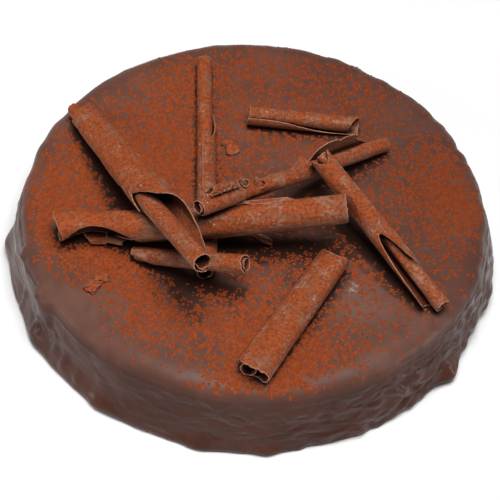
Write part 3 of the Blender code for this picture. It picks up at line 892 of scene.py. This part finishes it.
@dataclass
class GlazedBody:
    """The cake under its glaze: flat top, rounded shoulder, rippled wall, uneven foot."""

    top_radius: float = 97.6
    foot_radius: float = 101.6
    shoulder: float = 6.5
    shoulder_reach: float = 10.5
    foot_round: float = 2.6
    flare: float = 11.0
    taper: float = 30.0
    lean: float = 1.7
    lean_bearing: float = 212.0
    segments: int = 600
    drips: tuple = tuple(Drip(*row) for row in (
        (184.0, 7.0, 2.4, -2.0, 15.0), (212.0, 7.0, 2.0, -2.0, 12.0), (237.0, 8.0, 1.6, -2.0, 9.0),
        (262.0, 6.0, 1.4, -2.0, 8.0), (277.0, 5.0, 1.6, -2.0, 7.0), (327.0, 7.0, 4.2, -2.0, 12.0),
        (358.0, 28.0, 2.4, -6.0, 34.0), (188.0, 17.0, 1.7, -6.0, 34.0), (351.0, 7.0, 2.6, -2.0, 14.0),
        (40.0, 9.0, 1.8, -2.0, 12.0), (85.0, 8.0, 2.2, -2.0, 10.0), (128.0, 9.0, 1.9, -2.0, 13.0),
        (203.0, 6.0, 1.5, 20.0, 34.0)))
    blobs: tuple = tuple(Drip(*row) for row in (
        (213.8, 4.0, 3.0, 16.0, 34.5), (210.8, 1.7, 1.8, 24.0, 34.0), (198.5, 2.2, 1.7, 24.0, 34.0),
        (211.5, 1.5, 1.0, 4.0, 22.0), (217.0, 1.3, 0.9, 10.0, 25.0), (220.0, 1.3, 0.9, 6.0, 20.0),
        (224.0, 1.4, 0.8, 2.0, 16.0), (229.0, 1.5, 0.7, 0.0, 13.0), (203.0, 1.2, 0.8, 0.0, 22.0),
        (236.0, 2.2, 0.5, 0.0, 22.0)))
    rumpled_side: tuple = (322.0, 62.0)
    calm_side: tuple = (215.0, 60.0)
    wavy_side: tuple = (25.0, 85.0)
    plain_top: float = 82.0
    plain_foot: float = 89.0
    shade_reach: float = 45.0
    piece: bpy.types.Object | None = None

    def profile(self) -> list:
        """Trace the half section from the middle of the top to the middle of the underside."""
        rings, shoulder_steps, foot_steps = 34, 12, 6
        flat = self.top_radius - self.shoulder_reach
        points = [(flat * ring / rings, CAKE_HEIGHT) for ring in range(rings)]
        for step in range(shoulder_steps + 1):
            angle = math.radians(90.0 * (1.0 - step / shoulder_steps))
            points.append((flat + self.shoulder_reach * math.cos(angle),
                           CAKE_HEIGHT - self.shoulder * (1.0 - math.sin(angle))))
        wall_top = CAKE_HEIGHT - self.shoulder
        for ring in range(1, rings + 1):
            height = wall_top + (self.foot_round - wall_top) * ring / rings
            share = 1.0 - (height - self.foot_round) / self.taper
            points.append((self.top_radius + (self.foot_radius - self.top_radius) * share, height))
        for step in range(1, foot_steps + 1):
            angle = math.radians(90.0 / foot_steps * step)
            points.append((self.foot_radius - self.foot_round * (1.0 - math.cos(angle)),
                           self.foot_round * (1.0 - math.sin(angle))))
        points += [(94.0, 0.0), (88.0, 0.0), (44.0, 0.0), (0.0, 0.0)]
        return points

    def swell(self, bearing: float, height: float) -> float:
        """Say how far the glaze stands out from the plain wall, in millimetres."""
        angle = math.radians(bearing)
        around = Vector((math.cos(angle), math.sin(angle), 0.0)) * 4.2
        slow = noise.noise(around + Vector((0.0, 0.0, height / 9.0)))
        quick = noise.noise(around * 3.1 + Vector((7.3, 1.9, height / 9.0 * 1.7)))
        below_shoulder = smooth_step((CAKE_HEIGHT - height) / self.shoulder)
        total = 0.55 * (slow + 0.5 * quick) * below_shoulder + 0.35 * slow
        low_part = smooth_step(1.0 - height / self.flare)
        total += self.lean * math.cos(math.radians(bearing - self.lean_bearing)) * low_part
        for lump in self.drips:
            away = turn_between(bearing, lump.bearing)
            total += lump.reach * bump(away, lump.width) * lump.hump(height)
        return total

    def folds(self, bearing: float, height: float) -> float:
        """Say how far the finer folds of the set glaze stand out, in millimetres."""
        angle = math.radians(bearing)
        around = Vector((math.cos(angle), math.sin(angle), 0.0)) * self.top_radius
        warp = noise.noise(around * 0.055 + Vector((3.0, 0.0, height * 0.06))) * 5.0
        wave = noise.noise(Vector((around.x * 0.085, around.y * 0.085, (height + warp) * 0.27)))
        small = noise.noise(Vector((around.x * 0.17, around.y * 0.17, (height + warp) * 0.34 + 8.0)))
        strength = smooth_step((CAKE_HEIGHT - 3.0 - height) / 12.0)
        rumple = toward(bearing, self.rumpled_side)
        calm = toward(bearing, self.calm_side)
        fine = strength * (1.0 + 1.1 * rumple - 0.5 * calm) * 0.70 * (0.5 - math.sqrt(wave * wave + 0.008))
        fine += strength * (1.0 + 3.6 * rumple - 0.6 * calm) * 0.34 * small - 0.25 * strength
        fine += 0.45 * smooth_step((height - 24.0) / 8.0) * max(math.sin(angle), 0.0)
        waves = noise.noise(Vector((around.x * 0.11, around.y * 0.11, 21.0)))
        waves += 0.35 * noise.noise(Vector((around.x * 0.20, around.y * 0.20, 27.0)))
        wavy = 0.3 + 0.7 * toward(bearing, self.wavy_side)
        fine += 1.7 * wavy * smooth_step((height - 18.0) / 12.0) * waves
        return fine + self.blob(bearing, height)

    def blob(self, bearing: float, height: float) -> float:
        """Say how far the small blobs of glaze caught on the wall stand out."""
        total = 0.0
        for lump in self.blobs:
            round_part = bump(bearing - lump.bearing, lump.width) * lump.hump(height)
            total += lump.reach * round_part ** 0.6
        return total

    def build(self) -> bpy.types.Object:
        """Turn the cake from its profile and swell its wall."""
        shape = bmesh.new()
        ring = [shape.verts.new((radius * MM, 0.0, height * MM)) for radius, height in self.profile()]
        edges = [shape.edges.new(pair) for pair in zip(ring, ring[1:])]
        bmesh.ops.spin(shape, geom=ring + edges, cent=(0.0, 0.0, 0.0), axis=(0.0, 0.0, 1.0),
                       angle=math.tau, steps=self.segments, use_merge=True)
        bmesh.ops.remove_doubles(shape, verts=shape.verts, dist=0.005 * MM)
        bmesh.ops.recalc_face_normals(shape, faces=shape.faces)
        for vert in shape.verts:
            radius = vert.co.xy.length / MM
            height = vert.co.z / MM
            if radius <= self.plain_top or (height < 0.01 and radius < self.plain_foot):
                if height > 1.0:
                    vert.co.z += self.lie(vert.co) * MM
                continue
            bearing = math.degrees(math.atan2(vert.co.y, vert.co.x)) % 360.0
            out = self.swell(bearing, height) + self.folds(bearing, height)
            stretch = 1.0 + out / radius
            vert.co.x *= stretch
            vert.co.y *= stretch
            if height > 1.0:
                vert.co.z += self.lie(vert.co) * MM * smooth_step((height - 20.0) / 15.0)
        bmesh.ops.translate(shape, verts=shape.verts, vec=TO_MIDDLE * MM)
        self.piece = add_object("glaze_looks", write_mesh("glaze", shape))
        return self.piece

    @staticmethod
    def lie(place: Vector) -> float:
        """Say how far the poured top dips under its level at a place, in millimetres."""
        dip = noise.noise(Vector((place.x, place.y, 0.0)) * 38.0)
        ripple = noise.noise(Vector((place.x, place.y, 0.004)) * 120.0)
        return 0.10 * dip + 0.035 * ripple - 0.10

    def dress(self, cocoa: "CocoaDusting") -> None:
        """Store the fine powder and the closed-in share for painted shade on the glaze, and give it its
        finish.
        """
        mesh = self.piece.data
        powder = []
        closed = []
        for vert in mesh.vertices:
            upward = vert.normal.z > 0.3
            powder.append(cocoa.cover(vert.co) if upward else 0.0)
            closed.append(cocoa.sifter.hidden_share(vert.co, vert.normal, self.shade_reach)
                          if upward else 0.0)
        store(mesh, powder=powder, hollow=closed)
        mesh.materials.append(GlazeFinish().material())


@dataclass
class CocoaDusting:
    """Sifted cocoa lying on the glaze as small soft clumps."""

    sifter: Sifter
    ground: BVHTree
    pitch: float = 1.04
    limit: float = 97.3
    smallest: float = 0.50
    largest: float = 0.80
    seed: int = 7
    evenly: float = 0.50
    patches: tuple = tuple(Patch(*row) for row in (
        (-40.0, 18.0, 26.0, 26.0, 0.38), (-76.0, 0.0, 18.0, 24.0, 0.34), (-50.0, -38.0, 20.0, 14.0, 0.42),
        (8.0, -72.0, 24.0, 18.0, 0.42), (6.0, -96.0, 17.0, 10.0, 0.75), (82.0, 8.0, 18.0, 22.0, 0.35),
        (96.0, 4.0, 8.0, 18.0, 0.30), (-60.0, 66.0, 18.0, 16.0, -0.35), (66.0, 54.0, 14.0, 14.0, -0.30),
        (60.0, -54.0, 26.0, 22.0, -0.24), (-68.0, -62.0, 20.0, 17.0, -0.60),
        (-30.0, -86.0, 18.0, 10.0, -0.30),
        (12.0, 18.0, 14.0, 10.0, -0.20), (48.0, 24.0, 14.0, 14.0, -0.12), (-42.0, -62.0, 19.0, 14.0, 0.30),
        (-86.0, -26.0, 13.0, 15.0, 0.50), (-60.0, -34.0, 12.0, 14.0, 0.22), (-96.0, -4.0, 9.0, 14.0, 0.60),
        (96.0, 6.0, 9.0, 14.0, 0.60), (-40.0, 64.0, 18.0, 15.0, 0.30), (6.0, -92.0, 24.0, 9.0, 0.70),
        (14.0, -82.0, 22.0, 9.0, 0.22), (48.0, -36.0, 8.0, 8.0, 0.20), (40.0, -41.0, 7.0, 6.0, -0.30),
        (-12.0, -84.0, 12.0, 10.0, -0.30), (84.0, 36.0, 9.0, 12.0, 0.25), (64.0, -14.0, 20.0, 18.0, -0.26),
        (30.0, 12.0, 16.0, 14.0, -0.22)))
    rim: float = 16.0
    even_fade: float = 0.6
    patch_fade: float = 0.3
    most: float = 0.97

    def cover(self, point: Vector) -> float:
        """Give the share of the glaze that cocoa covers near a point in metres."""
        x = point.x / MM - TO_MIDDLE.x
        y = point.y / MM - TO_MIDDLE.y
        radius = math.hypot(x, y)
        if radius > self.limit:
            return 0.0
        rim = smooth_step((self.limit - radius) / self.rim)
        patched = sum(patch.at(x, y) for patch in self.patches)
        wanted = self.evenly * rim ** self.even_fade + patched * rim ** self.patch_fade
        wanted = min(max(wanted, 0.0), self.most)
        if wanted <= 0.0:
            return 0.0
        return wanted * self.sifter.open_share(point)

    def clump(self) -> tuple:
        """Model one soft flat clump of radius 1.

        Returns:
            Its corners as an array, and its faces as lists of corner numbers.
        """
        shape = bmesh.new()
        bmesh.ops.create_cone(shape, cap_ends=False, segments=6, radius1=1.0, radius2=0.62, depth=0.42)
        cap = shape.faces.new([vert for vert in shape.verts if vert.co.z > 0.0])
        peak = bmesh.ops.poke(shape, faces=[cap])["verts"][0]
        peak.co.z += 0.16
        bmesh.ops.translate(shape, verts=shape.verts, vec=(0.0, 0.0, 0.16))
        bmesh.ops.recalc_face_normals(shape, faces=shape.faces)
        shape.verts.index_update()
        corners = np.array([vert.co[:] for vert in shape.verts])
        faces = [[vert.index for vert in face.verts] for face in shape.faces]
        shape.free()
        return corners, faces

    def scatter(self) -> np.ndarray:
        """Choose where the clumps lie: a jittered grid, thinned by cover and by a fine network.

        Returns:
            One row for each clump: its place in metres, its radius in millimetres, its ground's slopes.
        """
        draw = np.random.default_rng(self.seed)
        row_step = self.pitch * 0.866
        rows = round(2.0 * self.limit / row_step)
        columns = round(2.0 * self.limit / self.pitch)
        chosen = []
        for row in range(rows):
            shifts = draw.uniform(-0.3, 0.3, (columns, 2))
            chances = draw.uniform(-0.10, 0.10, columns)
            sizes = draw.uniform(self.smallest, self.largest, columns)
            for column in range(columns):
                x = -self.limit + (column + 0.5 * (row % 2)) * self.pitch + shifts[column][0]
                y = -self.limit + row * row_step + shifts[column][1]
                if math.hypot(x, y) > self.limit:
                    continue
                fall = Vector(((x + TO_MIDDLE.x) * MM, (y + TO_MIDDLE.y) * MM, 0.5))
                hit, facing = self.ground.ray_cast(fall, Vector((0.0, 0.0, -1.0)))[:2]
                if hit is None or facing.z < 0.3:
                    continue
                cover = self.cover(hit)
                network = 0.5 + 0.42 * noise.noise(Vector((x, y, 0.0)) * 0.36)
                network += 0.42 * noise.noise(Vector((x, y, 5.0)) * 0.80)
                if cover > 0.01 and network + chances[column] < 0.25 + 0.52 * cover:
                    slope = (-facing.x / facing.z, -facing.y / facing.z)
                    chosen.append((hit.x, hit.y, hit.z, sizes[column] * (0.85 + 0.3 * cover), *slope))
        return np.array(chosen)

    def build(self) -> list:
        """Lay the clumps in three joined meshes, from the back to the front."""
        clumps = self.scatter()
        LOG.info("cocoa: %d clumps", len(clumps))
        finish = CocoaFinish().material()
        pieces = []
        order = clumps[np.argsort(-clumps[:, 1])]
        for label, share in zip(("back", "middle", "front"), np.array_split(order, 3)):
            piece = add_object("cocoa_" + label, self.lay(share))
            piece.data.materials.append(finish)
            pieces.append(piece)
        return pieces

    def lay(self, clumps: np.ndarray) -> bpy.types.Mesh:
        """Join turned and squeezed copies of one clump into a mesh.

        Args:
            clumps: one row for each clump, as scatter gives them.

        Returns:
            The joined mesh, with how light each clump is stored on its corners.
        """
        corners, faces = self.clump()
        draw = np.random.default_rng(self.seed + len(clumps))
        count = len(clumps)
        turn = draw.uniform(0.0, math.tau, (count, 1))
        squeeze = draw.uniform(0.80, 1.22, (count, 1))
        uneven = draw.uniform(0.84, 1.16, (count, len(corners)))
        size = clumps[:, 3:4] * MM
        flat_x = corners[None, :, 0] * squeeze * uneven
        flat_y = corners[None, :, 1] / squeeze * uneven
        x = (flat_x * np.cos(turn) - flat_y * np.sin(turn)) * size + clumps[:, 0:1]
        y = (flat_x * np.sin(turn) + flat_y * np.cos(turn)) * size + clumps[:, 1:2]
        z = corners[None, :, 2] * size * draw.uniform(0.8, 1.3, (count, 1)) + clumps[:, 2:3]
        z += (x - clumps[:, 0:1]) * clumps[:, 4:5] + (y - clumps[:, 1:2]) * clumps[:, 5:6]
        points = np.stack([x, y, z], axis=-1).reshape(-1, 3)
        one_run = np.array([corner for face in faces for corner in face])
        runs = (one_run[None, :] + np.arange(count)[:, None] * len(corners)).ravel()
        lengths = np.tile([len(face) for face in faces], count)
        mesh = bpy.data.meshes.new("cocoa")
        mesh.vertices.add(len(points))
        mesh.vertices.foreach_set("co", points.ravel())
        mesh.loops.add(len(runs))
        mesh.loops.foreach_set("vertex_index", runs)
        mesh.polygons.add(len(lengths))
        mesh.polygons.foreach_set("loop_start", np.cumsum(lengths) - lengths)
        mesh.update(calc_edges=True)
        store(mesh, tone=np.repeat(draw.uniform(0.0, 1.0, count), len(corners)))
        return mesh


@dataclass
class Scraps:
    """Broken scraps of chocolate on the glaze, as the solid has them."""

    places: tuple = (
        (-61.8, -50.0, 8.0, 4.4, 62.0, 9.0), (-59.4, -46.6, 5.4, 3.4, 20.0, 12.0),
        (-11.4, 30.2, 7.0, 4.6, 100.0, 5.0), (-13.6, 32.0, 4.2, 2.6, 40.0, 4.0),
        (4.2, -18.8, 8.0, 2.4, -24.0, 6.0))
    thickness: float = 1.7
    sink: float = 0.4
    seed: int = 5

    def build(self, sifter: Sifter) -> bpy.types.Object:
        """Model the scraps as one piece, dusted like the curls."""
        whole = bmesh.new()
        for number, scrap in enumerate(self.places):
            self.add(whole, scrap, 3.7 * (number + 1))
        bmesh.ops.recalc_face_normals(whole, faces=whole.faces)
        edge_layer = whole.verts.layers.float.new("edge")
        sheet_layer = whole.verts.layers.float_vector.new("sheet")
        dust_layer = whole.verts.layers.float.new("dust")
        whole.normal_update()
        for vert in whole.verts:
            vert[edge_layer] = smooth_step((0.75 - vert.normal.z) / 0.8) * 0.8
            vert[sheet_layer] = vert.co.copy()
            vert[dust_layer] = 0.85 * smooth_step(vert.normal.z / 0.6) * sifter.open_share(vert.co)
        return add_object("scraps", write_mesh("scraps", whole))

    def add(self, whole: bmesh.types.BMesh, scrap: tuple, seed: float) -> None:
        """Add one thin uneven slab, bent a little and sunk into the glaze."""
        x, y, length, width, bearing, tilt = scrap
        # Without a seed, vector noise starts from the clock
        noise.seed_set(self.seed)
        first = len(whole.verts)
        made = bmesh.ops.create_cube(whole, size=1.0)["verts"]
        edges = list(dict.fromkeys(edge for vert in made for edge in vert.link_edges))
        bmesh.ops.subdivide_edges(whole, edges=edges, cuts=7, use_grid_fill=True)
        whole.verts.ensure_lookup_table()
        place = (Matrix.Translation((Vector((x, y, CAKE_HEIGHT - self.sink)) + TO_MIDDLE) * MM)
                 @ Matrix.Rotation(math.radians(bearing), 4, "Z")
                 @ Matrix.Rotation(math.radians(tilt), 4, "Y"))
        for vert in whole.verts[first:]:
            ragged = noise.noise_vector(vert.co * 2.3 + Vector((seed, seed * 0.7, 0.0))) * 0.32
            fine = noise.noise_vector(vert.co * 7.0 + Vector((seed, 0.0, 2.0))) * 0.06
            height = (vert.co.z + 0.5) * self.thickness + ragged.z * 0.5
            if vert.co.z > 0.0:
                height += 0.27 * math.cos(vert.co.x * math.pi) * self.thickness
            along = (vert.co.x + ragged.x + fine.x) * length
            across = (vert.co.y + ragged.y + fine.y) * width
            vert.co = place @ (Vector((along, across, height)) * MM)


@dataclass
class Studio:
    """Camera, light and floor."""

    look_at: tuple = (0.65, 4.15, 0.0)
    elevation: float = 50.7
    distance: float = 900.0
    roll: float = 4.6
    lens: float = 149.7
    pieces: list = field(default_factory=list)

    def camera(self) -> None:
        """Place the camera at the photo's viewing angle."""
        data = bpy.data.cameras.new("view")
        data.lens = self.lens
        data.sensor_width = 36.0
        data.clip_end = 10.0
        camera = bpy.data.objects.new("view", data)
        bpy.context.scene.collection.objects.link(camera)
        up = math.radians(self.elevation)
        offset = Vector((0.0, -math.cos(up), math.sin(up))) * self.distance
        place = (Vector(self.look_at) + offset) * MM
        turn = Matrix.Rotation(math.radians(90.0 - self.elevation), 4, "X")
        spin = Matrix.Rotation(math.radians(self.roll), 4, "Z")
        camera.matrix_world = Matrix.Translation(place) @ turn @ spin
        bpy.context.scene.camera = camera

    def lamp(self, name: str, place: tuple, aim: tuple, size: tuple, watts: float) -> None:
        """Add one rectangular soft light.

        Args:
            name: the light's name.
            place: its middle in metres.
            aim: the point that it faces.
            size: its width and height in metres.
            watts: its power.
        """
        data = bpy.data.lights.new(name, "AREA")
        data.shape = "RECTANGLE"
        data.size, data.size_y = size
        data.energy = watts
        light = bpy.data.objects.new(name, data)
        bpy.context.scene.collection.objects.link(light)
        facing = (Vector(aim) - Vector(place)).to_track_quat("-Z", "Y")
        light.matrix_world = Matrix.Translation(Vector(place)) @ facing.to_matrix().to_4x4()
        self.pieces.append(light)

    def sky(self) -> None:
        """Fill the shadows from a pale dome that is brighter near the horizon."""
        world = bpy.data.worlds.new("studio")
        bpy.context.scene.world = world
        world.use_nodes = True
        tree = world.node_tree
        sketch = NodeSketch(tree)
        way = sketch.add("TexCoord").outputs["Generated"]
        height = sketch.add("SeparateXYZ", {0: way}).outputs["Z"]
        strength = sketch.spread(height, -0.10, 0.45, 0.05, 0.02)
        background = tree.nodes["Background"]
        background.inputs["Color"].default_value = (1.0, 1.0, 1.0, 1.0)
        tree.links.new(strength, background.inputs["Strength"])

    def floor(self) -> None:
        """Lay a plain pale floor, whose light thrown back up fills the sides."""
        shape = bmesh.new()
        bmesh.ops.create_grid(shape, x_segments=1, y_segments=1, size=6.0)
        mesh = write_mesh("floor", shape)
        mesh.materials.append(FloorFinish().material())
        floor = bpy.data.objects.new("floor", mesh)
        bpy.context.scene.collection.objects.link(floor)
        self.pieces.append(floor)

    def build(self) -> None:
        """Set up the whole studio."""
        self.camera()
        self.sky()
        self.floor()
        self.lamp("left_strip", (-1.2, -0.35, 0.42), (0.0, 0.0, 0.03), (0.16, 0.9), 4.2)
        self.lamp("right_strip", (1.25, -0.20, 0.36), (0.0, 0.0, 0.03), (0.14, 0.9), 7.0)
        self.pieces[-1].visible_diffuse = False
        self.lamp("key_box", (0.12, -0.30, 1.90), (0.0, 0.0, 0.03), (1.1, 1.1), 48.0)
        scene = bpy.context.scene
        scene.view_settings.view_transform = "Standard"
        scene.view_settings.look = "None"


def main() -> None:
    """Build the cake's looks in order and report each piece."""
    logging.basicConfig(level=logging.INFO, format="%(name)s %(message)s")
    body = GlazedBody()
    glaze = body.build()
    report(glaze)
    pile = CurlPile()
    pile.build()
    shavings = Shavings()
    shavings.build()
    sifter = pile.sifter()
    finish = CurlFinish().material()
    pile.dress(sifter, finish)
    shavings.dress(sifter, finish)
    LOG.info("curls dusted")
    scraps = Scraps().build(sifter)
    scraps.data.materials.append(CurlFinish(name="scrap_looks", cover=SCRAP_COVER).material())
    ground = BVHTree.FromPolygons([vert.co.copy() for vert in glaze.data.vertices],
                                  [list(face.vertices) for face in glaze.data.polygons])
    cocoa = CocoaDusting(sifter, ground)
    clumps = cocoa.build()
    body.dress(cocoa)
    for piece in [glaze, scraps, *clumps]:
        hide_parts("glazed_cake")
        report(piece)
    Studio().build()


if __name__ == "__main__":
    main()
